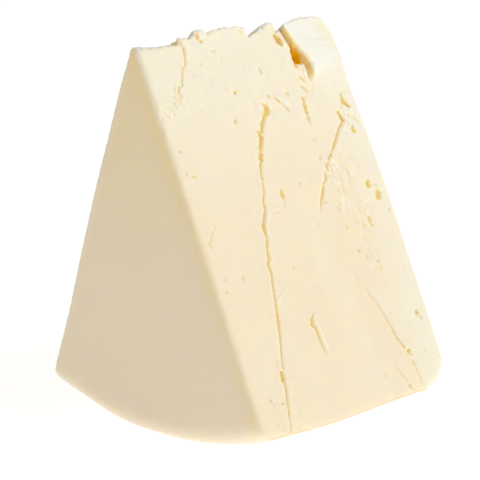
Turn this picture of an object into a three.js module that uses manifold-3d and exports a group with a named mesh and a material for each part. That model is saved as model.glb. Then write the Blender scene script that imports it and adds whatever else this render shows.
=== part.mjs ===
// Cheese wedge: a sector knifed out of a small pale wheel of cheese and stood on its rind.
//
// Millimetres. X runs across the sector, Y along the wheel's axis and Z up. The origin is the
// middle of the flat foot that the rind has settled to. The wheel's two flat faces look along
// -Y and +Y, its round rind looks down, and the two knife cuts lean together at the top, where
// the thin tip has crumbled away.
//
// The whole wedge is one solid: the wheel and the sector between the cuts are intersected, the
// tip and the cracks are cut away, and the smear of cheese beside the tip is added.

import * as THREE from 'three';
import { mergeVertices } from 'three/addons/utils/BufferGeometryUtils.js';
import Module from 'manifold-3d';

// The wheel
const WHEEL_RADIUS = 125;
const WHEEL_HEIGHT = 78;
const RIM_ROUND = 7;
const RIM_STEPS = 5;
const WHEEL_SIDES = 240;

// The foot that the wedge rests on: the rind settles until this width is flat
const FOOT_WIDTH = 18;
const WHEEL_AXIS_Z = Math.sqrt(WHEEL_RADIUS ** 2 - (FOOT_WIDTH / 2) ** 2);

// The two cuts, each leaning from the vertical, meet in a line just off the wheel's centre
const LEFT_LEAN = THREE.MathUtils.degToRad(18);
const RIGHT_LEAN = THREE.MathUtils.degToRad(25.5);
const APEX_X = -5.5;
const APEX_Z = WHEEL_AXIS_Z - 10.5;
const CUT_EDGE_ROUND = 1.6;

// The crumbled tip: [distance along the wheel's axis, depth below where the cuts would meet]
const TIP_LINE = [
  [0, 5.6], [8, 5.4], [17, 5.6], [18, 4.1], [24, 4.2], [26, 3.3], [29, 3.4], [31, 4.4],
  [35, 3.5], [43, 3.8], [45, 5.8], [46, 6.5], [49, 5.3], [53, 4.4], [55, 3.9], [57, 5.4],
  [60, 4.3], [63, 3.5], [70, 3.5], [74, 4.2], [76, 6], [78, 10],
];

// Everything on the right cut is placed by [across from the near face, down from the apex]
const MAIN_CRACK = [
  [49.4, 29.6], [45, 25.7], [41.5, 26.5], [38.3, 30.8], [34.6, 36.9], [31.5, 43], [29.2, 52],
  [27.5, 57.3], [24.6, 61], [24.6, 65.5], [22.1, 73], [20, 84], [17.7, 92], [15.3, 99],
  [12.5, 110], [9.5, 122],
];
const SIDE_CRACK = [
  [73.9, 27.3], [72.4, 31.5], [69.5, 35], [65.6, 40], [58.3, 46.6], [52.2, 54.5], [48, 61.5],
];
const TIP_CRACK = [[16.8, 8], [15.6, 12], [12.5, 15.2], [10.1, 20.4], [5.3, 24.4]];
const MIDDLE_CRACK = [[57.8, 23.7], [56, 30], [55.7, 35.2]];
const LOWER_CRACK = [[55.6, 82.4], [60.1, 92], [63, 101], [65.7, 107], [67, 116], [68, 122]];
const SHORT_CRACK = [[32.8, 87.4], [31, 90.4], [33, 99.5]];

// Gas holes: [across, down, radius]
const HOLES = [
  [30.8, 22.6, 0.9], [27.1, 30.5, 0.8], [4.2, 42.7, 1.1], [43.1, 17.4, 0.8], [51, 24.7, 0.9],
  [72.1, 55.7, 1], [74.2, 59, 1.3], [67.5, 66.7, 1.2], [65.4, 79.2, 0.8], [31.1, 73.9, 0.7],
  [11.2, 73.3, 0.9], [74.2, 96, 1.2], [65.4, 104.9, 1], [61, 114, 0.9], [13.9, 102.3, 1.1],
];

// The smear of soft cheese beside the tip, and the hollow torn open under its lip
const SMEAR = { across: 68, down: 11, halfAcross: 9.5, halfDown: 11, thickness: 1.8 };
const HOLLOW = { across: 58.2, down: 14.5, halfAcross: 2.4, halfDown: 4, depth: 4 };
const PIT = { across: 54.7, down: 9, halfAcross: 1.8, halfDown: 1.8, depth: 2.2 };

const CRACK_DEPTH = 1.4;
const CRACK_HALF_WIDTH = 0.55;
const CLEAR = 20;

const CHEESE_COLOUR = 0xf7ecd0;

const wasm = await Module();
wasm.setup();

// A closed three.js geometry as a solid, with its shared vertices merged
function solidOf(geometry) {
  const bare = new THREE.BufferGeometry();
  bare.setAttribute('position', geometry.getAttribute('position'));
  bare.setIndex(geometry.getIndex());
  const merged = mergeVertices(bare, 1e-4);
  const index = merged.getIndex().array;
  const triangles = [];
  for (let i = 0; i < index.length; i += 3) {
    const [a, b, c] = index.slice(i, i + 3);
    const isCollapsed = a === b || b === c || c === a;
    if (!isCollapsed) triangles.push(a, b, c);
  }
  return new wasm.Manifold(new wasm.Mesh({
    numProp: 3,
    vertProperties: new Float32Array(merged.getAttribute('position').array),
    triVerts: new Uint32Array(triangles),
  }));
}

function geometryOf(solid) {
  const mesh = solid.getMesh();
  const geometry = new THREE.BufferGeometry();
  geometry.setAttribute('position', new THREE.BufferAttribute(mesh.vertProperties, 3));
  geometry.setIndex(new THREE.BufferAttribute(mesh.triVerts, 1));
  geometry.computeVertexNormals();
  return geometry;
}

// The whole wheel, lying with its axis along Y: a turned profile with rounded rims
function makeWheel() {
  const half = WHEEL_HEIGHT / 2;
  const profile = [new THREE.Vector2(0, -half)];
  for (const side of [-1, 1]) {
    for (let i = 0; i <= RIM_STEPS; i += 1) {
      const turn = (i / RIM_STEPS) * Math.PI / 2;
      const angle = side < 0 ? turn - Math.PI / 2 : turn;
      profile.push(new THREE.Vector2(
        WHEEL_RADIUS - RIM_ROUND + RIM_ROUND * Math.cos(angle),
        side * (half - RIM_ROUND) + RIM_ROUND * Math.sin(angle),
      ));
    }
  }
  profile.push(new THREE.Vector2(0, half));
  const geometry = new THREE.LatheGeometry(profile, WHEEL_SIDES);
  geometry.translate(0, 0, WHEEL_AXIS_Z);
  return solidOf(geometry);
}

// The sector between the two cuts, drawn in X and Z and run along Y, with its long edges
// eased where the cuts come out through the wheel's flat faces
function makeSector() {
  const reach = APEX_Z + CLEAR;
  const section = new THREE.Shape();
  section.moveTo(APEX_X, APEX_Z);
  section.lineTo(APEX_X - Math.tan(LEFT_LEAN) * reach, APEX_Z - reach);
  section.lineTo(APEX_X + Math.tan(RIGHT_LEAN) * reach, APEX_Z - reach);
  section.closePath();
  const geometry = new THREE.ExtrudeGeometry(section, {
    depth: WHEEL_HEIGHT - 2 * CUT_EDGE_ROUND,
    bevelEnabled: true,
    bevelThickness: CUT_EDGE_ROUND,
    bevelSize: CUT_EDGE_ROUND,
    bevelOffset: -CUT_EDGE_ROUND,
    bevelSegments: 3,
  });
  geometry.translate(0, 0, CUT_EDGE_ROUND - WHEEL_HEIGHT / 2);
  geometry.rotateX(Math.PI / 2);
  return solidOf(geometry);
}

// What has crumbled from the tip: an outline in Y and Z above the tip line, run along X
function makeCrumbled() {
  const outline = new THREE.Shape();
  outline.moveTo(-CLEAR, CLEAR);
  outline.lineTo(-CLEAR, -TIP_LINE[0][1]);
  for (const [along, depth] of TIP_LINE) outline.lineTo(along, -depth);
  outline.lineTo(WHEEL_HEIGHT + CLEAR, -TIP_LINE.at(-1)[1] - CLEAR);
  outline.lineTo(WHEEL_HEIGHT + CLEAR, CLEAR);
  outline.closePath();
  const geometry = new THREE.ExtrudeGeometry(outline, { depth: 2 * CLEAR, bevelEnabled: false });
  geometry.translate(-WHEEL_HEIGHT / 2, 0, -CLEAR);
  const alongY = new THREE.Vector3(0, 1, 0);
  const alongZ = new THREE.Vector3(0, 0, 1);
  const alongX = new THREE.Vector3(1, 0, 0);
  geometry.applyMatrix4(new THREE.Matrix4().makeBasis(alongY, alongZ, alongX));
  geometry.translate(APEX_X, 0, APEX_Z);
  return solidOf(geometry);
}

// Everything below the foot
function makeFloor() {
  const geometry = new THREE.BoxGeometry(WHEEL_RADIUS * 2, WHEEL_HEIGHT * 2, CLEAR);
  geometry.translate(0, 0, -CLEAR / 2);
  return solidOf(geometry);
}

// Moves a geometry drawn with X down the right cut, Y across it and Z out of it on to the cut
function placeOnRightCut(geometry) {
  const down = new THREE.Vector3(Math.sin(RIGHT_LEAN), 0, -Math.cos(RIGHT_LEAN));
  const across = new THREE.Vector3(0, 1, 0);
  const outward = new THREE.Vector3(Math.cos(RIGHT_LEAN), 0, Math.sin(RIGHT_LEAN));
  const frame = new THREE.Matrix4().makeBasis(down, across, outward);
  frame.setPosition(APEX_X, -WHEEL_HEIGHT / 2, APEX_Z);
  return geometry.applyMatrix4(frame);
}

// A slot along a line of points, widest in the middle and pointed at both ends
function makeCrack(line) {
  const points = line.map(([across, down]) => new THREE.Vector2(down, across));
  const leftSide = [];
  const rightSide = [];
  for (let i = 1; i < points.length - 1; i += 1) {
    const heading = points[i + 1].clone().sub(points[i - 1]).normalize();
    const side = new THREE.Vector2(-heading.y, heading.x).multiplyScalar(CRACK_HALF_WIDTH);
    leftSide.push(points[i].clone().add(side));
    rightSide.push(points[i].clone().sub(side));
  }
  const outline = [points[0], ...leftSide, points.at(-1), ...rightSide.reverse()];
  const geometry = new THREE.ExtrudeGeometry(new THREE.Shape(outline), {
    depth: CRACK_DEPTH + CLEAR,
    bevelEnabled: false,
  });
  geometry.translate(0, 0, -CRACK_DEPTH);
  return solidOf(placeOnRightCut(geometry));
}

// A rounded lump or pit centred on the right cut
function makeRound(across, down, halfAcross, halfDown, halfDeep, segments) {
  const geometry = new THREE.SphereGeometry(1, segments, segments / 2);
  geometry.rotateX(Math.PI / 2);
  geometry.scale(halfDown, halfAcross, halfDeep);
  geometry.translate(down, across, 0);
  return solidOf(placeOnRightCut(geometry));
}

function makeWedge() {
  let wedge = makeWheel().intersect(makeSector());
  wedge = wedge.add(
    makeRound(SMEAR.across, SMEAR.down, SMEAR.halfAcross, SMEAR.halfDown, SMEAR.thickness, 24)
      .intersect(makeWheel()),
  );
  wedge = wedge.subtract(makeCrumbled()).subtract(makeFloor());
  const cracks = [MAIN_CRACK, SIDE_CRACK, TIP_CRACK, MIDDLE_CRACK, LOWER_CRACK, SHORT_CRACK];
  for (const line of cracks) wedge = wedge.subtract(makeCrack(line));
  for (const [across, down, radius] of HOLES) {
    wedge = wedge.subtract(makeRound(across, down, radius, radius, radius, 8));
  }
  for (const { across, down, halfAcross, halfDown, depth } of [HOLLOW, PIT]) {
    wedge = wedge.subtract(makeRound(across, down, halfAcross, halfDown, depth, 16));
  }
  return wedge;
}

const cheese = new THREE.MeshStandardMaterial({
  color: CHEESE_COLOUR,
  roughness: 0.6,
  metalness: 0,
});

const wedgeMesh = new THREE.Mesh(geometryOf(makeWedge()), cheese);
wedgeMesh.name = 'cheese_wedge';

const part = new THREE.Group();
part.add(wedgeMesh);

export default part;
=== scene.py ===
# %% [markdown]
# # A wedge of cheese
#
# The piece is a sector knifed out of a small wheel of pale, semi-hard cheese. It stands on the
# wheel's round rind with its thin tip uppermost. Two of its sides are the wheel's flat faces,
# two are knife cuts, and the cut on the right has cracked, torn and smeared as the knife came
# through. The CAD model gives the wedge its place and size, and this script gives it its skin:
# one dense mesh, carved the way a sculptor would, and one material that lets light through.

# %% Load the frame
import math

import bpy
import numpy as np
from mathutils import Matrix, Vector


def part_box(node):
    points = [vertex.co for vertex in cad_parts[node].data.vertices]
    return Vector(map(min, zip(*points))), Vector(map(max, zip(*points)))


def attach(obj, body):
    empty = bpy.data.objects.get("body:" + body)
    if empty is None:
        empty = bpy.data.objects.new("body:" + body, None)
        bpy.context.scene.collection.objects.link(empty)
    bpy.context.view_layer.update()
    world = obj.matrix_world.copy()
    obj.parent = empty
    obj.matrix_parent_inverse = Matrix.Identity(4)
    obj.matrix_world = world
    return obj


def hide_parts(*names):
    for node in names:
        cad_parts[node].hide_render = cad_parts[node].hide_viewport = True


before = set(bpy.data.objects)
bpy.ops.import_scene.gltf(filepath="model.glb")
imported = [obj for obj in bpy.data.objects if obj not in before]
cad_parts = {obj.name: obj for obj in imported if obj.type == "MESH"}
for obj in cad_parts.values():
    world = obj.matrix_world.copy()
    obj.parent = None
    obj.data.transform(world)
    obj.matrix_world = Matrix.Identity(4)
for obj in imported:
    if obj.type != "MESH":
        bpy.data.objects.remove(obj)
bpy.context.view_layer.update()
low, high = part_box("cheese_wedge")
print("CAD box", [round(v * 1000, 1) for v in low], [round(v * 1000, 1) for v in high])

# %% [markdown]
# ## Sizes
#
# The surface is worked out in millimetres, because cracks and gas holes are easier to think of
# in millimetres than in metres, and only the last step to Blender's own units divides by a
# thousand. The wheel's height comes from the CAD box. The wheel's radius, the foot, the two leans
# and the apex are the CAD model's own. The rims and edges have roundings of their own, finer
# than the CAD model's, because the near and far ones differ on the real piece.

# %% Driving sizes, in millimetres
MM = 0.001
WHEEL_HEIGHT = (high.y - low.y) / MM
WHEEL_RADIUS = 125.0
NEAR_RIM_ROUND = 5.0
FAR_RIM_ROUND = 10.0
NEAR_EDGE_ROUND = 1.3
FAR_EDGE_ROUND = 0.8
FOOT_WIDTH = 18.0
WHEEL_AXIS_Z = math.sqrt(WHEEL_RADIUS ** 2 - (FOOT_WIDTH / 2) ** 2)
LEFT_LEAN = math.radians(18.0)
RIGHT_LEAN = math.radians(25.5)
APEX = np.array([-5.5, 0.0, WHEEL_AXIS_Z - 10.5])
TIP_DEPTH = 3.0
print("wheel height", round(WHEEL_HEIGHT, 1), "apex", APEX.round(1))

# %% [markdown]
# ## The camera
#
# The camera comes before the cheese, so that every test picture is seen from the same place. It
# stands about 65 cm away, a little above the wedge, and turned so that the edge between the
# shaded flat face and the lit cut runs down the middle of the view. The long lens keeps the
# sides from splaying.

# %% Camera
AZIMUTH = math.radians(44.0)
ELEVATION = math.radians(13.34)
AIM = Vector((0.00096, -0.00297, 0.05035))
DISTANCE = 0.6477
LENS = 169.6

backward = Vector((
    math.sin(AZIMUTH) * math.cos(ELEVATION),
    -math.cos(AZIMUTH) * math.cos(ELEVATION),
    math.sin(ELEVATION),
))
bpy.ops.object.camera_add(
    location=AIM + backward * DISTANCE,
    rotation=(math.pi / 2 - ELEVATION, 0, AZIMUTH),
)
camera = bpy.context.object
camera.name = "camera"
camera.data.lens = LENS
camera.data.clip_end = 20
bpy.context.scene.camera = camera
print("camera at", [round(v, 3) for v in camera.location])

# %% [markdown]
# ## Modelling by hand, in code
#
# Edit-mode operators act on whatever is selected. So each step first deselects everything, then
# picks faces or edges by where they are, and then calls the operator.

# %% Selection helpers
def activate(piece):
    if bpy.context.object and bpy.context.object.mode != "OBJECT":
        bpy.ops.object.mode_set(mode="OBJECT")
    bpy.ops.object.select_all(action="DESELECT")
    piece.select_set(True)
    bpy.context.view_layer.objects.active = piece


def edit(piece, kind):
    """Opens a piece in edit mode with nothing selected, ready to pick its VERT, EDGE or FACE."""
    activate(piece)
    bpy.ops.object.mode_set(mode="EDIT")
    bpy.ops.mesh.select_mode(type=kind)
    bpy.ops.mesh.select_all(action="DESELECT")
    bpy.ops.object.mode_set(mode="OBJECT")


def pick(elements, wanted):
    """Selects the edges or faces for which wanted is true, and goes on in edit mode."""
    elements.foreach_set("select", np.asarray(wanted, bool))
    bpy.ops.object.mode_set(mode="EDIT")


def done():
    bpy.ops.object.mode_set(mode="OBJECT")


# %% [markdown]
# ## The blank
#
# A wedge could be built as a six-sided box, but its rind has to be part of a true circle and its
# rims have to be rounded the same all along it. So the blank is made as the cheese was: a whole
# wheel first, its rims pressed round in the mould, and then cut. A cylinder lies with its axis
# along Y, and a bevel rounds its two rims.

# %% The whole wheel
WHEEL_SIDES = 240
TOUCHING = 0.01

bpy.ops.object.select_all(action="DESELECT")
bpy.ops.mesh.primitive_cylinder_add(
    vertices=WHEEL_SIDES,
    radius=WHEEL_RADIUS * MM,
    depth=WHEEL_HEIGHT * MM,
    end_fill_type="NGON",
    location=(0, 0, WHEEL_AXIS_Z * MM),
    rotation=(math.pi / 2, 0, 0),
)
wedge = bpy.context.object
wedge.name = "cheese"
bpy.ops.object.transform_apply(location=True, rotation=True, scale=True)


def round_rim(piece, side, radius):
    """Rounds the rim at one end of the wheel, side -1 for the near one and 1 for the far one."""
    edit(piece, "EDGE")
    ends = np.array([piece.data.vertices[i].co.y for e in piece.data.edges for i in e.vertices])
    ends = ends.reshape(-1, 2) / MM * side
    pick(piece.data.edges, ends.min(axis=1) > WHEEL_HEIGHT / 2 - TOUCHING)
    bpy.ops.mesh.bevel(offset=radius * MM, segments=8, affect="EDGES")
    done()


round_rim(wedge, -1, NEAR_RIM_ROUND)
round_rim(wedge, 1, FAR_RIM_ROUND)
print("wheel", len(wedge.data.polygons), "faces")

# %% [markdown]
# ## Two cuts, a foot and a tip
#
# Bisect is the knife. Each cut keeps one side and fills the hole with a flat face. The wheel has
# settled on a narrow flat foot, and the thin tip is taken off level, close to where it will
# crumble to later. The four long edges between the cuts and the flat faces are bevelled: the near
# right one, which has been handled most, more than the others.

# %% Bisect
def cut(piece, point, outward):
    edit(piece, "FACE")
    pick(piece.data.polygons, np.ones(len(piece.data.polygons)))
    bpy.ops.mesh.bisect(
        plane_co=tuple(np.array(point) * MM),
        plane_no=tuple(outward),
        use_fill=True,
        clear_outer=True,
    )
    done()


RIGHT_OUT = np.array([math.cos(RIGHT_LEAN), 0, math.sin(RIGHT_LEAN)])
RIGHT_DOWN = np.array([math.sin(RIGHT_LEAN), 0, -math.cos(RIGHT_LEAN)])
LEFT_OUT = np.array([-math.cos(LEFT_LEAN), 0, math.sin(LEFT_LEAN)])
LEFT_DOWN = np.array([-math.sin(LEFT_LEAN), 0, -math.cos(LEFT_LEAN)])

cut(wedge, APEX, RIGHT_OUT)
cut(wedge, APEX, LEFT_OUT)
cut(wedge, (0, 0, 0), (0, 0, -1))
cut(wedge, APEX - (0, 0, TIP_DEPTH), (0, 0, 1))
print("wedge", len(wedge.data.polygons), "faces")

# %% Ease the four long edges
LONG_EDGE = 20.0


def ease_edges(piece, radius, is_near):
    """Rounds the long edges between cuts and flat faces, the near right one or the other three."""
    edit(piece, "EDGE")
    ends = np.array([[piece.data.vertices[i].co[:] for i in e.vertices] for e in piece.data.edges])
    ends /= MM
    middles = ends.mean(axis=1)
    long_enough = np.linalg.norm(ends[:, 0] - ends[:, 1], axis=1) > LONG_EDGE
    on_flat_face = np.abs(middles[:, 1]) > WHEEL_HEIGHT / 2 - TOUCHING
    on_right = np.abs((middles - APEX) @ RIGHT_OUT) < TOUCHING
    on_left = np.abs((middles - APEX) @ LEFT_OUT) < TOUCHING
    near_right = on_right & (middles[:, 1] < 0)
    wanted = on_flat_face & (on_right | on_left) & long_enough & (near_right == is_near)
    pick(piece.data.edges, wanted)
    bpy.ops.mesh.bevel(offset=radius * MM, segments=4, affect="EDGES")
    done()
    print("eased", int(wanted.sum()), "edges by", radius, "mm")


ease_edges(wedge, NEAR_EDGE_ROUND, True)
ease_edges(wedge, FAR_EDGE_ROUND, False)

# %% [markdown]
# ## Clay to carve
#
# Cracks and crumbs need a mesh that is even and dense. A voxel remesh gives one: a net of small
# square faces all over, with every sharp edge slightly melted, as on real cheese. A light smooth
# takes out its stair steps.

# %% Remesh
VOXEL = 1.15


def finish_modifier(piece, modifier):
    activate(piece)
    bpy.ops.object.modifier_apply(modifier=modifier.name)


remesh = wedge.modifiers.new("even net", "REMESH")
remesh.mode = "VOXEL"
remesh.voxel_size = VOXEL * MM
finish_modifier(wedge, remesh)

smooth = wedge.modifiers.new("melt", "SMOOTH")
smooth.factor = 0.5
smooth.iterations = 3
finish_modifier(wedge, smooth)
print("net of", len(wedge.data.polygons), "faces")

# %% [markdown]
# ## A map of the cut face
#
# A crack is easiest to place on the cut itself. Each cut gets its own two coordinates: across,
# from the near flat face, and down, from the line where the two cuts would meet. A third number
# says how far a point is in front of the cut's plane, so that marks stay off the other sides.

# %% Cut coordinates
def read_points(piece):
    points = np.empty(len(piece.data.vertices) * 3, np.float32)
    piece.data.vertices.foreach_get("co", points)
    return points.reshape(-1, 3).astype(float) / MM


def face_middles(piece):
    middles = np.empty(len(piece.data.polygons) * 3, np.float32)
    piece.data.polygons.foreach_get("center", middles)
    return middles.reshape(-1, 3).astype(float) / MM


def on_cut(points, outward, downward):
    """Across, down and in front of one cut, in millimetres."""
    from_apex = points - APEX
    return points[:, 1] + WHEEL_HEIGHT / 2, from_apex @ downward, from_apex @ outward


def ease(x, start, end):
    """0 before start, 1 after end, and a soft slope between them."""
    t = np.clip((np.asarray(x, float) - start) / (end - start), 0, 1)
    return t * t * (3 - 2 * t)


def bump(distance, width):
    """A round hump, 1 in the middle, that has all but gone at twice its width."""
    return np.exp(-(distance / width) ** 2)


# %% [markdown]
# ## Smooth randomness
#
# Soft dents, torn grain and wandering crack edges all need values that vary smoothly from place
# to place and come out the same each time. A seeded box of random numbers, blended between
# neighbours, gives them at any size.

# %% Noise
LATTICE = 32


def noise(points, size, seed):
    """Smooth values from -1 to 1 that change over about size millimetres."""
    box = np.random.default_rng(seed).uniform(-1, 1, (LATTICE, LATTICE, LATTICE))
    place = points / size + 1000.5
    whole = np.floor(place).astype(int)
    part = place - whole
    part = part * part * (3 - 2 * part)
    total = np.zeros(len(points))
    for corner in np.ndindex(2, 2, 2):
        share = np.ones(len(points))
        for axis, step in enumerate(corner):
            share = share * (part[:, axis] if step else 1 - part[:, axis])
        i, j, k = ((whole + corner) % LATTICE).T
        total += share * box[i, j, k]
    return total


def flat_noise(across, down, size, seed, stretch=1.0):
    """The same on a face, drawn out along the cut by stretch."""
    return noise(np.stack([across, down / stretch, np.zeros(len(across))], axis=1), size, seed)


# %% [markdown]
# ## What is marked where
#
# These lists are the piece's own history. A crack is a line of points, each with its place on
# the cut, its half width and its depth. It is written in stretches, because a crack in soft
# cheese stops and starts again beside itself. A gas hole has a place, its half width across, its
# half height and its depth. A flake is a line too, but it stands up instead of going in: its last
# number is a height. The right cut is the one that shows, and the left one, which went through
# cleaner cheese, has fewer marks.

# %% Cracks on the right cut, in millimetres
MAIN_CRACK = [
    [(40.0, 26.8, 0.7, 0.6), (41.0, 28.2, 1.3, 1.2), (40.4, 29.6, 1.2, 1.3)],
    [(40.6, 29.4, 0.9, 0.9), (38.5, 31.0, 0.9, 1.0), (37.0, 33.0, 0.85, 1.1), (36.0, 34.6, 0.7, 0.9)],
    [(34.9, 34.4, 0.6, 0.9), (35.2, 35.8, 1.0, 1.4), (34.4, 37.8, 0.8, 1.3), (33.2, 40.0, 0.7, 1.1)],
    [(33.0, 40.8, 0.8, 1.1), (32.4, 42.2, 1.0, 1.2), (31.0, 44.2, 0.5, 1.0), (30.5, 47.5, 0.4, 0.8),
     (29.5, 51.0, 0.4, 0.8), (28.0, 54.0, 0.45, 0.9), (27.6, 56.5, 0.5, 1.0), (26.0, 59.0, 0.55, 1.2),
     (25.0, 60.8, 0.65, 1.3), (24.9, 62.2, 0.6, 1.3), (25.0, 64.0, 0.5, 1.1), (24.0, 66.5, 0.5, 1.0),
     (23.0, 70.0, 0.5, 1.0), (22.0, 71.6, 0.55, 1.1), (22.4, 73.6, 0.5, 1.0), (20.8, 79.0, 0.45, 0.9),
     (20.0, 83.0, 0.5, 1.0), (19.4, 86.0, 0.65, 1.2), (18.0, 91.0, 0.45, 0.9), (15.0, 100.0, 0.35, 0.7)],
    [(14.0, 100.8, 0.7, 1.2), (13.6, 103.0, 0.8, 1.2)],
    [(14.0, 104.0, 0.45, 0.9), (12.5, 110.0, 0.4, 0.7), (10.5, 117.0, 0.35, 0.6)],
]
HOOK_CRACK = [
    [(45.4, 25.8, 0.4, 0.6), (47.0, 27.4, 0.4, 0.7)],
    [(47.6, 27.8, 0.4, 0.5), (49.6, 30.0, 0.4, 0.5)],
]
SIDE_CRACK = [
    [(75.4, 26.8, 0.5, 0.3), (73.4, 27.4, 0.8, 0.5)],
    [(72.6, 28.0, 0.7, 0.7), (72.4, 29.8, 0.8, 1.0)],
    [(72.6, 30.6, 1.1, 1.3), (74.2, 31.8, 0.7, 1.1)],
    [(71.6, 31.2, 0.5, 0.4), (70.4, 32.2, 0.5, 0.4)],
    [(69.0, 33.0, 0.6, 0.8), (69.2, 34.2, 0.9, 1.3), (70.0, 35.6, 0.8, 1.3)],
    [(69.5, 36.0, 0.5, 1.0), (67.5, 37.8, 0.45, 0.9), (63.0, 42.4, 0.5, 1.1), (61.0, 44.4, 0.45, 0.9),
     (58.6, 46.2, 0.4, 0.8)],
    [(57.9, 47.0, 0.7, 0.7), (56.8, 48.8, 0.7, 0.8)],
    [(55.8, 49.8, 0.5, 0.7), (55.0, 51.5, 0.6, 0.8), (53.8, 52.6, 0.5, 0.7)],
    [(53.2, 53.3, 0.7, 0.9), (52.0, 55.5, 0.75, 1.0), (50.6, 57.4, 0.5, 0.7), (49.0, 60.4, 0.3, 0.2)],
]
TIP_CRACK = [
    [(16.4, 3.6, 0.5, 0.4), (16.4, 6.6, 0.6, 0.7)],
    [(17.0, 7.2, 0.5, 0.9), (16.4, 9.6, 0.65, 1.2), (15.4, 12.4, 0.5, 0.9)],
    [(14.3, 12.8, 0.45, 0.8), (13.0, 15.5, 0.5, 0.9), (11.7, 18.0, 0.4, 0.8)],
    [(10.6, 18.2, 0.45, 0.9), (9.9, 19.6, 0.45, 0.9), (10.4, 21.2, 0.3, 0.5)],
    [(8.6, 18.8, 0.35, 0.5), (9.6, 21.8, 0.35, 0.5)],
    [(7.8, 20.4, 0.35, 0.5), (9.0, 22.6, 0.35, 0.5)],
    [(6.7, 22.0, 0.35, 0.5), (7.4, 23.8, 0.35, 0.5)],
    [(4.9, 23.2, 0.35, 0.5), (5.8, 25.2, 0.35, 0.4)],
    [(2.5, 24.3, 0.35, 0.4), (3.3, 25.8, 0.35, 0.3)],
]
MIDDLE_CRACK = [
    [(57.4, 23.6, 0.8, 0.5), (59.0, 25.0, 0.8, 0.6)],
    [(59.4, 25.6, 0.5, 0.5), (58.2, 26.8, 0.5, 0.4)],
    [(56.6, 27.0, 0.75, 0.9), (56.4, 29.2, 0.85, 1.0), (56.4, 31.2, 0.7, 0.8),
     (56.2, 33.2, 0.65, 0.8), (56.0, 35.2, 0.4, 0.4)],
    [(61.2, 25.0, 0.35, 0.4), (60.6, 27.2, 0.3, 0.3)],
]
LOWER_CRACK = [
    [(54.6, 80.0, 0.3, 0.2), (60.1, 92.0, 0.35, 0.45), (62.7, 100.5, 0.4, 0.6),
     (64.4, 104.4, 0.4, 0.7)],
    [(65.3, 105.4, 0.8, 1.1), (66.0, 106.4, 0.5, 0.6)],
    [(65.8, 108.4, 0.45, 0.7), (66.2, 112.0, 0.35, 0.5), (67.2, 117.0, 0.25, 0.3)],
]
CORNER_CRACK = [
    [(57.4, 107.2, 0.25, 0.2), (60.9, 113.4, 0.35, 0.5)],
    [(61.2, 114.8, 0.6, 0.8), (63.3, 117.6, 0.3, 0.3)],
]
SHORT_CRACK = [
    [(33.2, 87.2, 0.3, 0.3), (31.6, 89.2, 0.5, 0.8), (31.2, 90.6, 0.65, 1.0), (32.0, 91.8, 0.5, 0.8),
     (32.2, 95.0, 0.4, 0.7), (32.8, 99.6, 0.35, 0.4)],
]
SCRATCHES = [
    [(7.0, 57.6, 0.3, 0.25), (4.8, 60.0, 0.3, 0.35), (2.9, 62.2, 0.4, 0.5), (3.6, 63.4, 0.4, 0.4)],
    [(30.0, 57.6, 0.4, 0.25), (32.6, 57.6, 0.4, 0.2)],
    [(36.4, 54.6, 0.3, 0.3), (35.2, 56.8, 0.25, 0.2)],
    [(22.5, 74.4, 0.3, 0.3), (24.4, 79.0, 0.3, 0.15)],
    [(44.5, 50.2, 0.25, 0.2), (44.0, 53.4, 0.2, 0.15)],
    [(0.8, 25.4, 0.4, 0.25), (0.2, 30.0, 0.4, 0.2)],
]
TEARS = [
    [(60.0, 49.6, 0.3, 0.5), (61.0, 51.6, 0.35, 0.5), (61.2, 53.6, 0.35, 0.5), (60.2, 56.4, 0.3, 0.4)],
    [(58.0, 48.4, 0.3, 0.4), (58.7, 50.0, 0.3, 0.4)],
    [(56.5, 51.0, 0.35, 0.4), (57.6, 52.0, 0.3, 0.4)],
    [(57.0, 54.0, 0.3, 0.4), (57.8, 55.8, 0.3, 0.4)],
    [(64.8, 50.4, 0.35, 0.3), (64.4, 54.0, 0.3, 0.2)],
    [(72.4, 34.4, 0.35, 0.4), (74.2, 35.2, 0.3, 0.4), (76.0, 37.0, 0.3, 0.4), (76.2, 39.4, 0.25, 0.2)],
    [(68.4, 47.0, 0.4, 0.3), (68.0, 49.2, 0.4, 0.3)],
    [(58.0, 20.8, 0.4, 0.5), (59.6, 22.4, 0.4, 0.6)],
]

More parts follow.
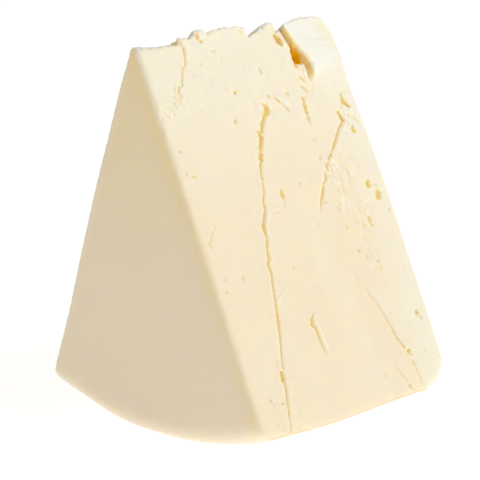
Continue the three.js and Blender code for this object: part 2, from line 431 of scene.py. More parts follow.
# %% Flakes and raised lips
FLAKES = [
    [(29.6, 57.0, 0.35, 0.3), (27.4, 59.0, 0.35, 0.3), (26.2, 60.6, 0.4, 0.4), (25.9, 63.0, 0.35, 0.3),
     (26.4, 64.4, 0.3, 0.2)],
    [(29.8, 56.4, 0.35, 0.25), (33.2, 56.8, 0.35, 0.15)],
    [(32.8, 87.6, 0.4, 0.3), (32.6, 89.6, 0.5, 0.5), (33.0, 92.0, 0.5, 0.5), (33.6, 95.0, 0.5, 0.4),
     (34.2, 99.6, 0.4, 0.2)],
    [(46.4, 25.4, 0.6, 0.4), (49.0, 27.0, 0.6, 0.4), (51.4, 29.4, 0.5, 0.2)],
    [(59.8, 46.4, 0.5, 0.5), (62.2, 49.6, 0.5, 0.4)],
    [(59.2, 48.8, 0.4, 0.4), (60.6, 52.0, 0.4, 0.3)],
    [(62.4, 51.0, 0.4, 0.3), (62.6, 55.0, 0.4, 0.3)],
    [(72.0, 33.4, 0.5, 0.4), (70.8, 35.6, 0.4, 0.5), (70.6, 38.2, 0.4, 0.3)],
    [(73.6, 36.0, 0.5, 0.4), (75.0, 38.4, 0.4, 0.3)],
    [(21.2, 81.6, 0.4, 0.3), (22.6, 81.0, 0.5, 0.35), (24.2, 80.0, 0.4, 0.2)],
    [(15.9, 7.6, 0.4, 0.3), (15.2, 11.2, 0.4, 0.4), (13.4, 13.4, 0.4, 0.3), (12.0, 17.0, 0.4, 0.3)],
    [(9.4, 18.0, 0.4, 0.4), (9.8, 20.4, 0.3, 0.3)],
    [(8.6, 20.0, 0.3, 0.3), (10.6, 22.4, 0.4, 0.4)],
    [(4.0, 23.4, 0.4, 0.3), (4.8, 25.2, 0.4, 0.3)],
    [(60.6, 18.6, 0.5, 0.5), (60.2, 21.6, 0.5, 0.5)],
    [(75.4, 97.6, 0.5, 0.3), (75.6, 99.4, 0.4, 0.2)],
]

# %% Gas holes, and a dust of specks too small to place one by one
GAS_HOLES = [
    (30.8, 22.6, 1.0, 0.9, 0.9), (27.3, 30.4, 0.8, 1.0, 0.7), (43.1, 17.4, 0.8, 1.3, 0.5),
    (51.0, 25.0, 1.1, 1.6, 0.5), (43.4, 25.0, 0.9, 0.7, 0.5), (3.5, 35.6, 0.7, 0.6, 0.6),
    (3.0, 42.2, 0.7, 0.6, 0.5), (5.6, 43.2, 0.9, 0.7, 0.7), (1.4, 48.8, 0.5, 0.5, 0.4),
    (55.6, 40.0, 0.7, 0.7, 0.4), (55.2, 45.0, 0.9, 0.7, 0.4), (44.2, 51.3, 0.7, 0.8, 0.4),
    (36.0, 53.2, 1.0, 2.0, 0.9), (51.9, 58.0, 0.8, 0.6, 0.5), (56.0, 60.6, 0.8, 1.1, 0.4),
    (57.4, 59.4, 0.5, 0.5, 0.3), (71.8, 55.6, 1.1, 1.5, 1.2), (74.6, 56.4, 0.7, 0.6, 0.5),
    (74.4, 59.4, 1.3, 1.7, 1.1), (76.9, 64.4, 0.8, 0.6, 0.6), (67.4, 66.4, 0.9, 2.2, 1.0),
    (64.2, 66.9, 0.7, 1.5, 0.5), (64.6, 62.6, 0.5, 1.6, 0.3), (57.0, 66.0, 0.8, 0.8, 0.4),
    (58.9, 73.7, 0.7, 1.1, 0.5), (61.2, 76.0, 0.5, 1.6, 0.4), (65.3, 78.2, 0.9, 0.9, 0.6),
    (65.6, 80.2, 0.6, 1.1, 0.4), (75.0, 81.6, 0.9, 0.9, 0.3), (31.1, 73.9, 0.6, 0.9, 0.4),
    (11.2, 73.3, 0.7, 1.3, 0.5), (4.4, 72.4, 0.6, 0.6, 0.5), (3.7, 75.8, 0.8, 0.6, 0.5),
    (74.0, 95.4, 1.0, 1.1, 1.1), (75.0, 97.0, 0.5, 1.2, 0.7), (71.8, 106.6, 1.1, 0.6, 0.3),
    (52.6, 110.2, 1.1, 0.9, 0.3), (6.8, 107.2, 0.6, 0.6, 0.6), (7.6, 108.6, 0.4, 0.7, 0.4),
    (10.8, 109.0, 0.6, 0.4, 0.4), (11.0, 110.6, 0.6, 0.4, 0.4), (6.2, 114.0, 0.8, 0.4, 0.3),
    (1.8, 101.6, 0.4, 0.5, 0.3), (23.4, 4.8, 0.9, 1.3, 1.2), (24.4, 6.4, 0.9, 0.7, 0.7),
    (27.6, 9.6, 1.2, 0.7, 0.4), (21.5, 12.5, 0.9, 0.8, 0.4), (17.5, 15.5, 0.5, 0.9, 0.3),
    (40.3, 5.2, 0.6, 1.0, 0.5), (49.6, 5.0, 0.9, 0.8, 0.6), (46.6, 63.4, 0.5, 0.9, 0.3),
    (65.4, 15.4, 0.7, 0.4, 0.3), (71.5, 37.0, 0.7, 1.1, 0.8), (73.0, 38.8, 0.9, 1.6, 0.9),
    (69.4, 39.6, 0.8, 0.6, 0.4), (54.0, 26.6, 0.6, 0.6, 0.2),
]
dust = np.random.default_rng(7)
SPECKS = [
    (dust.uniform(2, 76), dust.uniform(8, 118), *dust.uniform(0.3, 0.6, 2), dust.uniform(0.08, 0.2))
    for _ in range(40)
]

# %% Torn patches
# Each patch is its middle across and down, its spread across and down, and how many strokes.
PATCHES = [
    (59.5, 51.5, 2.4, 4.2, 30), (72.8, 34.5, 1.8, 3.2, 14), (65.5, 66.0, 2.0, 4.0, 14),
    (62.5, 76.0, 1.8, 4.0, 10), (59.0, 22.0, 1.2, 2.6, 8), (23.0, 9.0, 5.0, 3.0, 8),
    (14.0, 110.0, 5.0, 4.0, 6), (37.0, 28.0, 4.0, 2.5, 6),
    (46.0, 14.0, 6.0, 4.0, 10), (27.0, 17.0, 6.0, 5.0, 8), (9.0, 30.0, 4.0, 8.0, 6),
]


def strokes_in(patches, size_range, seed):
    """Short strokes, scattered over the patches, that all lean the way the knife went."""
    random = np.random.default_rng(seed)
    strokes = []
    for across, down, spread_across, spread_down, count in patches:
        for _ in range(count):
            a = random.normal(across, spread_across)
            d = random.normal(down, spread_down)
            run = random.uniform(0.6, 1.4)
            lean = random.uniform(0.1, 1.0)
            half = random.uniform(0.25, 0.4)
            size = random.uniform(*size_range)
            strokes.append([(a, d, half, size), (a + lean * run, d + 1.8 * run, half, size * 0.4)])
    return strokes


FLAKES += strokes_in(PATCHES, (0.2, 0.45), 51)
TEARS += strokes_in(PATCHES, (0.15, 0.4), 52)
print(len(FLAKES), "flakes,", len(TEARS), "tears")

# %% Crack and hole shapes
FAR_AWAY = 99.0


def crack_shape(across, down, line, fray=0.0):
    """How deep the crack is at each point, and how near its line the point is."""
    depth_here = np.zeros(len(across))
    nearest = np.full(len(across), FAR_AWAY)
    for (a0, d0, w0, z0), (a1, d1, w1, z1) in zip(line, line[1:]):
        run = np.array([a1 - a0, d1 - d0])
        t = np.clip(((across - a0) * run[0] + (down - d0) * run[1]) / (run @ run), 0, 1)
        distance = np.hypot(across - a0 - t * run[0], down - d0 - t * run[1])
        share = distance / ((w0 + (w1 - w0) * t) * (1 + fray))
        depth_here = np.maximum(depth_here, (z0 + (z1 - z0) * t) * (1 - ease(share, 0.15, 1.15)))
        nearest = np.minimum(nearest, distance)
    return depth_here, nearest


def hole_shape(across, down, holes, fray=0.0):
    """The same for gas holes, whose walls are steep and whose floors are round."""
    depth_here = np.zeros(len(across))
    nearest = np.full(len(across), FAR_AWAY)
    for a, d, half_across, half_down, depth in holes:
        share = np.hypot((across - a) / half_across, (down - d) / half_down) / (1 + fray)
        depth_here = np.maximum(depth_here, depth * (1 - ease(share, 0.25, 1.15)))
        nearest = np.minimum(nearest, np.hypot(across - a, down - d) - max(half_across, half_down))
    return depth_here, np.maximum(nearest, 0)


RIGHT_CRACKS = [
    *MAIN_CRACK, *HOOK_CRACK, *SIDE_CRACK, *TIP_CRACK, *MIDDLE_CRACK, *LOWER_CRACK, *CORNER_CRACK,
    *SHORT_CRACK, *SCRATCHES, *TEARS,
]
print(len(RIGHT_CRACKS), "stretches of crack and", len(GAS_HOLES), "gas holes on the right cut")

# %% [markdown]
# ## Marks on the left cut
#
# The other cut faces away, but the piece will be turned in the hand. It gets three hairline
# cracks, placed one by one, and a scatter of gas holes drawn from seeded random numbers.

# %% Marks on the left cut
scatter = np.random.default_rng(11)
LEFT_CRACKS = [
    [
        (24.0, 30.0, 0.3, 0.3), (26.5, 38.0, 0.5, 0.9), (25.6, 47.0, 0.5, 0.9),
        (28.4, 58.0, 0.45, 0.8), (27.6, 70.0, 0.4, 0.8), (30.0, 82.0, 0.3, 0.4),
    ],
    [
        (61.0, 62.0, 0.3, 0.3), (58.2, 74.0, 0.45, 0.8), (59.4, 88.0, 0.5, 0.9),
        (56.8, 101.0, 0.4, 0.8), (57.4, 113.0, 0.35, 0.6), (57.0, 121.0, 0.3, 0.5),
    ],
    [(50.2, 18.0, 0.3, 0.3), (52.0, 25.0, 0.45, 0.7), (50.8, 33.0, 0.3, 0.3)],
]
LEFT_HOLES = [
    (scatter.uniform(4, 74), scatter.uniform(14, 112), *scatter.uniform(0.5, 1.1, 2),
     scatter.uniform(0.4, 1.0))
    for _ in range(34)
]
LEFT_FLAKES = [
    [(27.8, 38.0, 0.4, 0.2), (27.0, 46.0, 0.5, 0.4), (29.4, 55.0, 0.4, 0.2)],
    [(59.6, 76.0, 0.4, 0.2), (60.8, 87.0, 0.5, 0.4), (58.4, 97.0, 0.4, 0.2)],
]
print(len(LEFT_CRACKS), "cracks and", len(LEFT_HOLES), "gas holes on the left cut")

# %% [markdown]
# ## The smear at the tip
#
# Near the far end of the tip the soft cheese was dragged over into a thick smear with a rolled
# lip. Under the lip the cheese tore open into a deep hollow with a ragged floor, a groove follows
# the lip above and below it, and beside it there is a smaller pit. The lip is a line: to its left
# the cut is bare, and to its right the smear rises at once and then thins away.

# %% The lip, the groove, the hollow and the pit
LIP = [(55.4, 3.0), (56.2, 5.0), (57.9, 8.3), (59.0, 10.9), (61.2, 13.9), (62.4, 16.3),
       (63.2, 18.0), (63.0, 19.5), (62.2, 21.6), (60.5, 25.0), (58.5, 30.0)]
GROOVE = [(55.6, 4.0, 0.6, 0.6), (57.3, 8.0, 0.7, 0.8), (58.4, 10.9, 0.7, 1.0),
          (61.4, 15.5, 0.8, 1.4), (62.5, 18.0, 0.8, 1.2), (62.3, 20.2, 0.7, 0.9),
          (61.6, 22.2, 0.5, 0.2)]
HOLLOW = [
    [(58.9, 11.6, 0.9, 3.0), (59.3, 13.4, 1.6, 4.4), (60.0, 15.0, 2.3, 4.4), (61.0, 16.2, 1.2, 2.8)],
    [(58.4, 15.0, 1.0, 3.0), (58.3, 17.4, 0.8, 2.2)],
    [(60.2, 15.0, 0.9, 3.0), (60.6, 17.0, 0.7, 1.8)],
]
PIT = [(53.8, 7.8, 1.0, 1.4), (54.6, 9.2, 1.4, 2.0), (55.4, 10.3, 1.0, 1.4)]
SMEAR_RISE = 2.0


def lip_across(down):
    return np.interp(down, [point[1] for point in LIP], [point[0] for point in LIP])


def smear_height(across, down):
    past_lip = across - lip_across(down)
    rise = ease(past_lip, -0.1, 0.7 + 1.0 * ease(down, 11, 15))
    thins_across = 1 - 0.7 * ease(past_lip, 5.0, 17.0)
    at_lip = bump(past_lip, 3.0)
    thins_down = 1 - ease(down, 13.0 + 6.0 * at_lip, 27.0 - 2.5 * at_lip)
    return SMEAR_RISE * rise * thins_across * thins_down


# %% [markdown]
# ## Finer net where it matters
#
# The even net is fine enough for broad dents, but not for a crack half a millimetre wide. Faces
# near a crack, a hole, the smear or the tip are split in four, those right at the marks once
# more, and those at the lip and the hollow a third time.

# %% Subdivide near the marks
ON_THE_CUT = 1.5
COARSE_REACH = 1.6
FINE_REACH = 0.8


def marks_near(points):
    """How far each point is from the nearest mark on either cut, in millimetres."""
    nearest = np.full(len(points), FAR_AWAY)
    for outward, downward, lines, holes in (
        (RIGHT_OUT, RIGHT_DOWN, [*RIGHT_CRACKS, *FLAKES, PIT], GAS_HOLES + SPECKS),
        (LEFT_OUT, LEFT_DOWN, [*LEFT_CRACKS, *LEFT_FLAKES], LEFT_HOLES),
    ):
        across, down, front = on_cut(points, outward, downward)
        here = hole_shape(across, down, holes)[1]
        for line in lines:
            here = np.minimum(here, crack_shape(across, down, line)[1])
        here = np.where(np.abs(front) < ON_THE_CUT, here, FAR_AWAY)
        nearest = np.minimum(nearest, here)
    return nearest


def split_faces(piece, wanted):
    edit(piece, "FACE")
    pick(piece.data.polygons, wanted)
    bpy.ops.mesh.subdivide(number_cuts=1)
    done()


def zones(piece):
    """The middle of each face, and whether it is on the smear, at its lip or in the torn patch."""
    middles = face_middles(piece)
    across, down, front = on_cut(middles, RIGHT_OUT, RIGHT_DOWN)
    on_face = np.abs(front) < ON_THE_CUT
    smear = on_face & (across > 52) & (down < 26)
    lip = on_face & (np.abs(across - lip_across(down) + 0.6) < 2.6) & (down < 24)
    torn = on_face & (across > 54) & (across < 72) & (down > 42) & (down < 66)
    return middles, smear, lip, torn


middles, smear, lip, torn = zones(wedge)
at_tip = middles[:, 2] > APEX[2] - 8.0
split_faces(wedge, (marks_near(middles) < COARSE_REACH) | at_tip | smear | torn)

middles, smear, lip, torn = zones(wedge)
at_ridge = middles[:, 2] > APEX[2] - TIP_DEPTH - 1.0
split_faces(wedge, (marks_near(middles) < FINE_REACH) | at_ridge | lip)

middles, smear, lip, torn = zones(wedge)
split_faces(wedge, lip)
print("finer net of", len(wedge.data.polygons), "faces")

# %% [markdown]
# ## Moving the surface
#
# Every mark is a push of the surface, worked out as so many millimetres along X, Y and Z for each
# point. Blender does the pushing the way a painted weight does it by hand: for each direction a
# vertex group holds how strongly each point moves, and a Displace modifier that reads the group
# moves it. Each modifier is applied at once, so that the next mark starts from the new surface.

# %% Push
LEAST_PUSH = 1e-4


def push(piece, offsets):
    """Moves each vertex by its own offset in millimetres, with weighted Displace modifiers."""
    activate(piece)
    for axis, letter in enumerate("XYZ"):
        for sign in (1, -1):
            amount = np.clip(offsets[:, axis] * sign, 0, None)
            most = amount.max()
            if most < LEAST_PUSH:
                continue
            group = piece.vertex_groups.new(name="push")
            for i in np.nonzero(amount > LEAST_PUSH)[0].tolist():
                group.add([i], amount[i] / most, "REPLACE")
            displace = piece.modifiers.new("push", "DISPLACE")
            displace.direction = letter
            displace.vertex_group = group.name
            displace.mid_level = 0
            displace.strength = sign * most * MM
            bpy.ops.object.modifier_apply(modifier=displace.name)
            piece.vertex_groups.clear()


# %% [markdown]
# ## The crumbled tip
#
# The tip was left level. Now it sinks to a broken line: points near the tip slide along their
# own cut, towards or away from where the cuts would meet, so the cuts stay flat up to the break.
# The break is highest along the right cut and slopes down to the left one, most of all behind the
# three steps in it. The deeper a point sinks, the further down its neighbours follow, or the surface
# would fold over itself.

# %% Crumble the tip
TIP_LINE = [
    (0, 4.7), (1.2, 4.6), (1.6, 5.2), (2.6, 4.9), (3.4, 5.2), (15.8, 5.1), (16.2, 3.1), (16.8, 2.9),
    (17.4, 3.5), (18.1, 2.9), (19.4, 3.4), (20.1, 3.8), (21.2, 3.3), (22.1, 3.2), (23.2, 2.2),
    (24.0, 2.0), (26.4, 2.2), (26.9, 3.0), (27.6, 3.7), (28.6, 3.2), (30.4, 2.9), (32.2, 2.8),
    (34.0, 2.6), (40.0, 2.6), (42.2, 2.9), (42.6, 5.2), (43.2, 5.5), (44.8, 4.6), (47.5, 4.0),
    (49.8, 3.6), (52.4, 2.6), (53.9, 2.9), (54.3, 5.4), (54.9, 5.6), (55.6, 4.6), (57.5, 3.6),
    (60, 3.4), (63, 3.1), (67, 2.9), (70, 2.8), (73.4, 3.4), (75.2, 5.2), (76.6, 7.8), (78, 11.0),
]
TIP_SLOPE = 0.45
STEPS = [18.5, 45.0, 56.8]
STEP_SLOPE = 2.6
STEP_DROP = 2.0
TIP_FADE = 11.0
SLOPE_ENDS = 3.5

points = read_points(wedge)
across = points[:, 1] + WHEEL_HEIGHT / 2
depth = APEX[2] - points[:, 2]
from_above = points * (1, 1, 0)
crumbs = 0.3 * noise(from_above, 0.7, 5) + 0.25 * noise(from_above, 1.2, 3)
crumbs += 0.15 * noise(from_above, 2.3, 4)
# Painted light: the broken top is marked here so the material can whiten it against its shade.
painted_break_light = 1 - ease(depth, TIP_DEPTH + 0.2, TIP_DEPTH + 1.2)
behind_right_cut = np.clip(-on_cut(points, RIGHT_OUT, RIGHT_DOWN)[2], 0, SLOPE_ENDS)
target = np.interp(across, *zip(*TIP_LINE)) + crumbs
step_drop = np.minimum(STEP_SLOPE * behind_right_cut, STEP_DROP)
target += TIP_SLOPE * behind_right_cut * ease(across, 3, 10)
for step in STEPS:
    target += step_drop * bump(across - step, 3.2)
reach = np.maximum(TIP_FADE, 2.4 * (target - TIP_DEPTH))
sink = (target - TIP_DEPTH) * (1 - ease(depth, TIP_DEPTH, TIP_DEPTH + reach))
offsets = np.zeros_like(points)
offsets[:, 0] = (points[:, 0] - APEX[0]) * sink / np.maximum(depth, 1.0)
offsets[:, 2] = -sink
push(wedge, offsets)
print("tip sinks by up to", round(float(sink.max()), 2), "mm")

# %% [markdown]
# ## Soft dents
#
# A knife cut through soft cheese is never quite flat, and a cut piece settles under its own
# weight. The far flat face swells, the left cut spreads below and draws in above, its bottom edge
# is worn, and the bottom edge of the right cut sags. Broad, shallow waves go over the whole piece,
# and a wide hollow follows the knife's drag down the right cut. The foot stays flat.

# %% Swell, sag, waves and drag
DRAG_DOWN = [50, 62, 75, 90, 112]
DRAG_ACROSS = [47, 49.5, 50.5, 54, 60]
SWELL = 1.9
LOW_SWELL = 1.1
SPREAD = 1.05
DRAW_IN = 0.5
WORN = 1.1
SAG = 0.8

points = read_points(wedge)
normals = np.empty(len(points) * 3, np.float32)
wedge.data.vertices.foreach_get("normal", normals)
normals = normals.reshape(-1, 3)
off_foot = ease(points[:, 2], 0.3, 6.0)
across, down, front = on_cut(points, RIGHT_OUT, RIGHT_DOWN)
on_right = 1 - ease(np.abs(front), 1.0, 3.0)
waves = 0.16 * noise(points, 21.0, 1) + 0.05 * noise(points, 7.0, 2)
drag_line = np.interp(down, DRAG_DOWN, DRAG_ACROSS)
drag = -0.55 * bump(across - drag_line, 5.0) * ease(down, 48, 66) * (1 - ease(down, 96, 112))
ridge = 0.35 * bump(across - drag_line + 9.0, 4.0) * ease(down, 52, 70) * (1 - ease(down, 90, 110))
offsets = normals * ((waves + (drag + ridge) * on_right) * off_foot)[:, None]
height = points[:, 2]
from_axis = np.hypot(points[:, 0], height - WHEEL_AXIS_Z)
# The rind and the foot, browned in the material: partly the rind's own colour, partly painted shade
# along the bottom edge.
rind_and_shade = np.maximum(ease(from_axis, WHEEL_RADIUS - 0.5, WHEEL_RADIUS), 1 - ease(height, 0.1, 0.5))
swell = SWELL * bump(height - 60, 28) + LOW_SWELL * bump(height - 22, 20) * ease(height, 6, 15)
offsets[:, 1] += swell * ease(points[:, 1], 8, 38)
on_left = 1 - ease(np.abs(on_cut(points, LEFT_OUT, LEFT_DOWN)[2]), 0.5, 6.0)
spread = SPREAD * ease(height, 3, 12) * (1 - ease(height, 62, 104))
spread -= DRAW_IN * ease(height, 96, 106)
offsets[:, 0] -= spread * on_left
offsets[:, 2] += WORN * ease(-points[:, 0], 10, 32) * (1 - ease(height, 8, 22))
sag = SAG * bump(across - 28, 17) * ease(points[:, 0], 18, 42) * ease(down, 95, 118)
offsets += RIGHT_DOWN * sag[:, None]
push(wedge, offsets)
print("far side out by", round(float(swell.max()), 2), "mm")

# %% [markdown]
# ## The smear, the hollow and the pit
#
# The smear lifts off the cut and its lip rolls over towards the bare side, so it overhangs the
# hollow. A few shallow strokes fan out across it where the blade let go.

# %% Lift the smear and dig the hollow
points = read_points(wedge)
across, down, front = on_cut(points, RIGHT_OUT, RIGHT_DOWN)
near_cut = 1 - ease(np.abs(front), 1.2, 2.4)
ragged = 0.25 * flat_noise(across, down, 0.9, 12)
smear_rise = smear_height(across + ragged, down)
fan = np.sin((down - 0.15 * (across - lip_across(down))) * 2.6 + 2 * flat_noise(across, down, 5, 60))
strokes = 0.10 * fan * bump(across - 69, 6) * bump(down - 11, 5)
groove = crack_shape(across + ragged, down, GROOVE)[0]
hollow = np.max([crack_shape(across + ragged, down, line)[0] for line in HOLLOW], axis=0)
pit = crack_shape(across + ragged, down, PIT)[0]
dug = np.maximum(np.maximum(groove, hollow), pit)
offsets = RIGHT_OUT * ((smear_rise + strokes - dug) * near_cut)[:, None]
past_lip = across - lip_across(down)
roll = 0.9 * bump(past_lip - 0.9, 1.1) * (1 - ease(down, 18, 23)) * near_cut
# Painted shadow: the flank under the rolled lip is not moved, only kept so the material can paint its
# shade ochre.
lip_flank_shadow = bump(past_lip + ragged - 0.15, 0.45 + 0.35 * ease(down, 11, 16))
lip_flank_shadow *= ease(down, 3.5, 6) * (1 - ease(down, 20, 23)) * near_cut
offsets[:, 1] -= roll * ease(smear_rise, 0.2, 1.2)
push(wedge, offsets)
print("smear stands", round(float((smear_rise * near_cut).max()), 2), "mm proud")

# %% [markdown]
# ## Cracks, tears, flakes and gas holes
#
# A crack's edges wander and fray, so its line is looked up at slightly shifted places and with a
# width that varies, less so in the firm cheese low down on the near side. Beside the cracks the
# cheese is pushed up into a low lip, and the torn patch to the right of the side crack is
# granular.

# %% Carve both cuts
CARVE = 0.8


def carve(piece, outward, downward, cracks, holes, flakes, seed):
    """Carves one cut and gives how deep and how proud of the cut each point now is."""
    points = read_points(piece)
    across, down, front = on_cut(points, outward, downward)
    near_cut = 1 - ease(np.abs(front), 2.0, 4.0)
    crumbly = 1 - 0.6 * ease(down, 48, 58) * (1 - ease(across, 46, 52))
    wander = 0.22 * flat_noise(across, down, 1.3, seed)
    wander += 0.22 * crumbly * flat_noise(across, down, 0.6, seed + 1)
    wobble = 0.40 * crumbly * flat_noise(across, down, 0.8, seed + 4)
    fray = 0.5 * crumbly * flat_noise(across, down, 0.8, seed + 3)
    depth = hole_shape(across + wander, down + wobble, holes, fray)[0]
    proud = np.zeros(len(points))
    for line in cracks:
        here, nearest = crack_shape(across + wander, down + wobble, line, fray)
        depth = np.maximum(depth, here)
        deepest = max(point[3] for point in line)
        beside = bump(nearest - 1.2, 0.7) * (0.5 + 0.5 * flat_noise(across, down, 3.0, seed + 2))
        proud = np.maximum(proud, 0.16 * deepest * beside)
    for line in flakes:
        proud = np.maximum(proud, crack_shape(across + wander, down, line, fray)[0])
    torn = ease(across, 52, 60) * (1 - ease(across, 68, 78)) * ease(down, 40, 46)
    torn *= (1 - ease(down, 60, 82)) * (outward[0] > 0)
    grain = 0.22 * flat_noise(across, down, 1.0, 30, 2.2) + 0.16 * flat_noise(across, down, 2.4, 31, 1.8)
    rough = 0.03 * noise(points, 1.4, 32) + 0.02 * noise(points, 0.8, 33)
    push(piece, outward * ((proud - CARVE * depth + torn * grain + rough) * near_cut)[:, None])
    patchy = 1 + 0.35 * flat_noise(across, down, 1.6, seed + 5)
    patchy += 0.35 * flat_noise(across, down, 0.7, seed + 6)
    return depth * near_cut * patchy, (proud + np.clip(torn * grain, 0, None)) * near_cut


right_depth, right_proud = carve(
    wedge, RIGHT_OUT, RIGHT_DOWN, RIGHT_CRACKS, GAS_HOLES + SPECKS, FLAKES, 20
)
left_depth, left_proud = carve(
    wedge, LEFT_OUT, LEFT_DOWN, LEFT_CRACKS, LEFT_HOLES, LEFT_FLAKES, 40
)
print("deepest mark", round(float(right_depth.max()), 2), "mm")

# %% [markdown]
# ## Notes for the material
#
# The material needs to know where the surface is cracked open, where it stands proud, where it is
# smeared and where it is the wheel's own outside or its rind instead of a fresh cut, and how
# golden or pale it is there, much of which is painted light and shade: ochre shade in the cracks,
# orange shade in the hollow, a golden glow on the outside, lighter and darker bands on the cut
# and shade on the rind. All are stored on the mesh as numbers from 0 to 1, worked out from the
# same shapes that were carved.

# %% Store the masks
def store(piece, name, values):
    attribute = piece.data.attributes.new(name, "FLOAT", "POINT")
    attribute.data.foreach_set("value", np.clip(values, 0, 1).astype(np.float32))


points = read_points(wedge)
across, down, front = on_cut(points, RIGHT_OUT, RIGHT_DOWN)
# Painted shade: cracks, holes, the groove, the pit and the shadowed flank under the lip turn ochre,
# standing in for the shade and bounce light inside them.
painted_crevice_shade = np.max(
    [
        ease(right_depth + left_depth, 0.05, 0.85),
        0.8 * ease(groove, 0.1, 0.8) * near_cut,
        ease(pit, 0.15, 1.0) * near_cut,
        0.8 * lip_flank_shadow,
    ],
    axis=0,
)
behind_right = np.abs(front + right_depth + dug)
behind_left = np.abs(on_cut(points, LEFT_OUT, LEFT_DOWN)[2] + left_depth)
from_axis = np.hypot(points[:, 0], points[:, 2] - WHEEL_AXIS_Z)
behind_outside = np.minimum(WHEEL_HEIGHT / 2 - np.abs(points[:, 1]), WHEEL_RADIUS - from_axis)
outside = ease(np.minimum(behind_right, behind_left) - np.clip(behind_outside, 0, None), 0.0, 2.4)
# Painted glow: the wheel's outside goes golden towards the thin tip and along the right cut, where light
# shines through.
painted_glow = 0.7 * ease(points[:, 2], 35, 105) + 0.55 * (1 - ease(behind_right, 1, 7))
# Painted light and shade on the right cut: paler on the raised side of the lower fold and along the
# ridge beside the drag, darker in the drag hollow. The cut is also paler near the tip and on the far
# side.
fold = np.interp(down, [82, 92, 104, 118], [55.6, 60.1, 64.2, 67.4])
painted_fold_light = ease(across - fold, -0.2, 0.5) * ease(down, 80, 92)
drag_line = np.interp(down, DRAG_DOWN, DRAG_ACROSS)
painted_drag_light_and_shade = (bump(across - drag_line + 8.5, 3.5) - bump(across - drag_line, 4.0)) * ease(down, 55, 75)
pale_and_painted_light = 0.9 * (1 - ease(APEX[2] - points[:, 2], 8, 55)) + 0.8 * ease(points[:, 1], 22, 38)
pale_and_painted_light += 0.35 * painted_fold_light + 0.25 * painted_drag_light_and_shade
store(wedge, "crevice_shade", painted_crevice_shade)
# Painted shade: the deep hollow under the lip is coloured orange.
store(wedge, "hollow", ease(hollow * near_cut, 0.3, 1.6))
# Flakes and lips that stand proud, and the broken tip, are whitened: partly dried cheese, partly a
# painted highlight.
store(wedge, "proud", np.maximum(ease(right_proud + left_proud, 0.08, 0.4), painted_break_light))
store(wedge, "rind_and_shade", rind_and_shade)
store(wedge, "smear", ease(smear_rise / SMEAR_RISE, 0.1, 0.9) * near_cut)
store(wedge, "outside", outside)
store(wedge, "painted_glow", painted_glow)
store(wedge, "pale_and_painted_light", pale_and_painted_light)
activate(wedge)
bpy.ops.object.shade_smooth()
triangles = sum(len(p.vertices) - 2 for p in wedge.data.polygons)
print("cheese has", triangles, "triangles")

# %% [markdown]
# ## Shader sums in Python
#
# Node trees are easier to read as sums. One small class wraps a socket and adds a Math node for
# each operator, so that 1 - mask is a node. Colours go through Mix nodes.

# %% A socket that can be added up
class Value:
    def __init__(self, tree, socket):
        self.tree = tree
        self.socket = socket

    def math(self, operation, a, b):
        return self.tree.add("ShaderNodeMath", {"operation": operation}, {0: a, 1: b})

    def __add__(self, other):
        return self.math("ADD", self, other)

    def __sub__(self, other):
        return self.math("SUBTRACT", self, other)

    def __mul__(self, other):
        return self.math("MULTIPLY", self, other)

    def __rsub__(self, other):
        return self.math("SUBTRACT", other, self)

    __radd__ = __add__
    __rmul__ = __mul__


class Tree:
    def __init__(self, name):
        self.material = bpy.data.materials.new(name)
        self.material.use_nodes = True
        self.nodes = self.material.node_tree.nodes
        self.nodes.clear()

    def add(self, kind, settings=None, inputs=None, output=0):
        """One node: its settings first, then the values or links of its sockets."""
        node = self.nodes.new(kind)
        for name, value in (settings or {}).items():
            setattr(node, name, value)
        for name, value in (inputs or {}).items():
            if isinstance(value, Value):
                self.material.node_tree.links.new(value.socket, node.inputs[name])
            else:
                node.inputs[name].default_value = value
        return Value(self, node.outputs[output]) if node.outputs else node

    def mix(self, share, first, second):
        """One colour turning into another as share goes from 0 to 1."""
        settings = {"data_type": "RGBA"}
        return self.add("ShaderNodeMix", settings, {0: share, 6: first, 7: second}, output=2)

    def ramp(self, value, start, end):
        """0 below start, 1 above end."""
        settings = {"interpolation_type": "SMOOTHSTEP", "clamp": True}
        return self.add("ShaderNodeMapRange", settings, {0: value, 1: start, 2: end})


# %% [markdown]
# ## The cheese itself
#
# Fresh pale cheese is a cloudy, moist solid: light goes a few millimetres in and comes out
# yellower. So the shader scatters light below the surface, red furthest and blue least, and has
# a soft, slightly wet shine. The fresh cuts are ivory with faint cloudy patches, paler near the
# tip and on the far side, with painted light beside the lower fold and along the drag ridge and
# painted shade in the drag hollow. The wheel's own outside is more beige, with a painted golden
# glow towards the thin tip and along the right cut, where light shines through. The rind is
# brown, partly as painted shade along the bottom edge. Cracks, holes, the groove, the pit and the
# shadowed flank under the lip are painted ochre for the shade and bounce light in them, and the
# hollow is painted deep orange. Flakes that stand proud have dried and are nearly white, partly
# as a painted highlight, and the shaded broken tip is whitened as painted light.

# %% Cheese material
IVORY = (0.945, 0.81, 0.62, 1)
# Cream for the paler parts of the cut and for painted light on it.
CREAM = (0.985, 0.87, 0.73, 1)
BEIGE = (0.91, 0.795, 0.615, 1)
# Golden painted glow on the outside.
GLOW_GOLDEN = (0.915, 0.775, 0.475, 1)
# Near white for the smear, and for proud flakes and the broken tip, partly as a painted highlight.
SMEARED = (0.99, 0.965, 0.85, 1)
# Ochre painted shade for cracks, holes, the groove, the pit and the flank under the lip.
CREVICE_SHADE_OCHRE = (0.90, 0.71, 0.27, 1)
# Deep orange painted shade for the hollow.
HOLLOW_SHADE_ORANGE = (0.97, 0.59, 0.0, 1)
# Brown for the rind, partly painted shade along the bottom edge.
RIND_AND_SHADE = (0.74, 0.58, 0.42, 1)

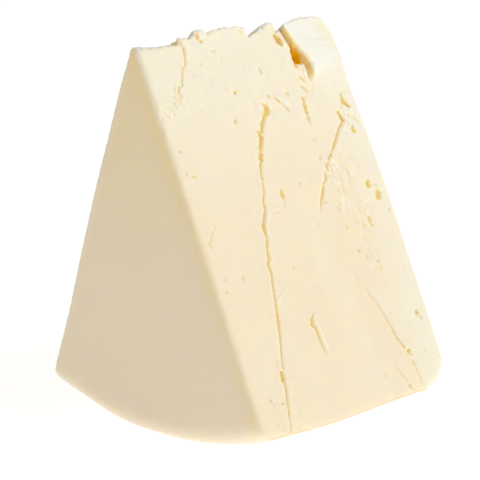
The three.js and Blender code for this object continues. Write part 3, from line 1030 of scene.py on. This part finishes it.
tree = Tree("cheese")
place = tree.add("ShaderNodeTexCoord", output="Object")
along_cut = tree.add("ShaderNodeMapping", None, {
    "Vector": place, "Rotation": (0, RIGHT_LEAN, 0), "Scale": (1, 1, 0.12),
})


def cloud(scale, detail, where=place):
    return tree.add(
        "ShaderNodeTexNoise",
        {"noise_dimensions": "3D"},
        {"Vector": where, "Scale": scale, "Detail": detail, "Roughness": 0.5},
    )


def mask(name):
    return tree.add("ShaderNodeAttribute", {"attribute_name": name}, output="Fac")


# Painted glow: the outside goes from beige to golden towards the tip and beside the right cut.
outside_and_glow = tree.mix(mask("painted_glow"), BEIGE, GLOW_GOLDEN)
patches = tree.ramp(cloud(45, 3), 0.35, 0.65)
streaks = tree.ramp(cloud(300, 3, along_cut), 0.3, 0.7)
# Paler parts of the cut, with painted light beside the lower fold and along the drag ridge and painted
# shade in the drag hollow, plus cloudy patches and streaks.
colour = tree.mix(0.85 * mask("pale_and_painted_light") + 0.12 * patches + 0.12 * streaks, IVORY, CREAM)
colour = tree.mix(mask("outside"), colour, outside_and_glow)
# The rind and foot go brown: partly the rind's own colour, partly painted shade along the bottom edge.
colour = tree.mix(mask("rind_and_shade"), colour, RIND_AND_SHADE)
colour = tree.mix(mask("smear") * 0.8, colour, SMEARED)
# Proud flakes and the broken tip go nearly white: partly dried cheese, partly a painted highlight.
colour = tree.mix(mask("proud") * 0.7, colour, SMEARED)
# Painted shade: ochre in the cracks, holes, groove, pit and under the lip.
colour = tree.mix(mask("crevice_shade"), colour, CREVICE_SHADE_OCHRE)
# Painted shade: the hollow under the lip goes deep orange.
colour = tree.mix(mask("hollow"), colour, HOLLOW_SHADE_ORANGE)

roughness = 0.42 + 0.16 * cloud(160, 2) + 0.2 * mask("crevice_shade")
fine = (cloud(900, 2) + 0.6 * cloud(2600, 1)) * (0.8 + 1.8 * mask("pale_and_painted_light")) + 1.5 * streaks
relief = tree.add("ShaderNodeBump", None, {"Strength": 0.25, "Distance": 0.0002, "Height": fine})
shader = tree.add("ShaderNodeBsdfPrincipled", {"subsurface_method": "RANDOM_WALK"}, {
    "Base Color": colour,
    "Roughness": roughness,
    "Normal": relief,
    "IOR": 1.4,
    "Specular IOR Level": 0.2,
    "Subsurface Weight": 1.0,
    "Subsurface Radius": (1.0, 0.9, 0.45),
    "Subsurface Scale": 0.0015,
})
tree.add("ShaderNodeOutputMaterial", None, {"Surface": shader})

wedge.data.materials.clear()
wedge.data.materials.append(tree.material)
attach(wedge, "root")
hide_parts("cheese_wedge")

# %% [markdown]
# ## The table and the light
#
# The wedge stands on a plain white table that glows a little, as a light table does, so it
# stays white to the edge of the view and throws even light back up. The sky is warm and dim, and
# one big soft lamp from the right and above lights the cracked cut and leaves the flat face on
# the left in gentle shade.

# %% Floor
bpy.ops.mesh.primitive_plane_add(size=12, location=(0, 0, 0))
floor = bpy.context.object
floor.name = "floor"
floor_tree = Tree("floor")
floor_shader = floor_tree.add("ShaderNodeBsdfPrincipled", None, {
    "Base Color": (0.6, 0.6, 0.6, 1),
    "Roughness": 0.9,
    "Specular IOR Level": 0.1,
    "Emission Color": (1.0, 1.0, 1.0, 1),
    "Emission Strength": 0.75,
})
floor_tree.add("ShaderNodeOutputMaterial", None, {"Surface": floor_shader})
floor.data.materials.append(floor_tree.material)

# %% Sky and lamp
world = bpy.data.worlds.new("studio")
world.use_nodes = True
sky = world.node_tree.nodes["Background"]
sky.inputs["Color"].default_value = (1.0, 0.92, 0.82, 1)
sky.inputs["Strength"].default_value = 0.4
bpy.context.scene.world = world
bpy.context.scene.view_settings.view_transform = "Standard"


def lamp(name, azimuth, elevation, distance, size, power, colour):
    """A square lamp that looks at the middle of the wedge from a direction in degrees."""
    turn, lift = math.radians(azimuth), math.radians(elevation)
    aim = Vector((0, 0, 0.05))
    toward = Vector((
        math.sin(turn) * math.cos(lift), -math.cos(turn) * math.cos(lift), math.sin(lift),
    ))
    bpy.ops.object.light_add(type="AREA", location=aim + toward * distance)
    light = bpy.context.object
    light.name = name
    light.rotation_euler = toward.to_track_quat("Z", "Y").to_euler()
    light.data.shape = "SQUARE"
    light.data.size = size
    light.data.energy = power
    light.data.color = colour


lamp("key", 110, 42, 1.4, 0.7, 9.0, (1.0, 1.0, 1.0))
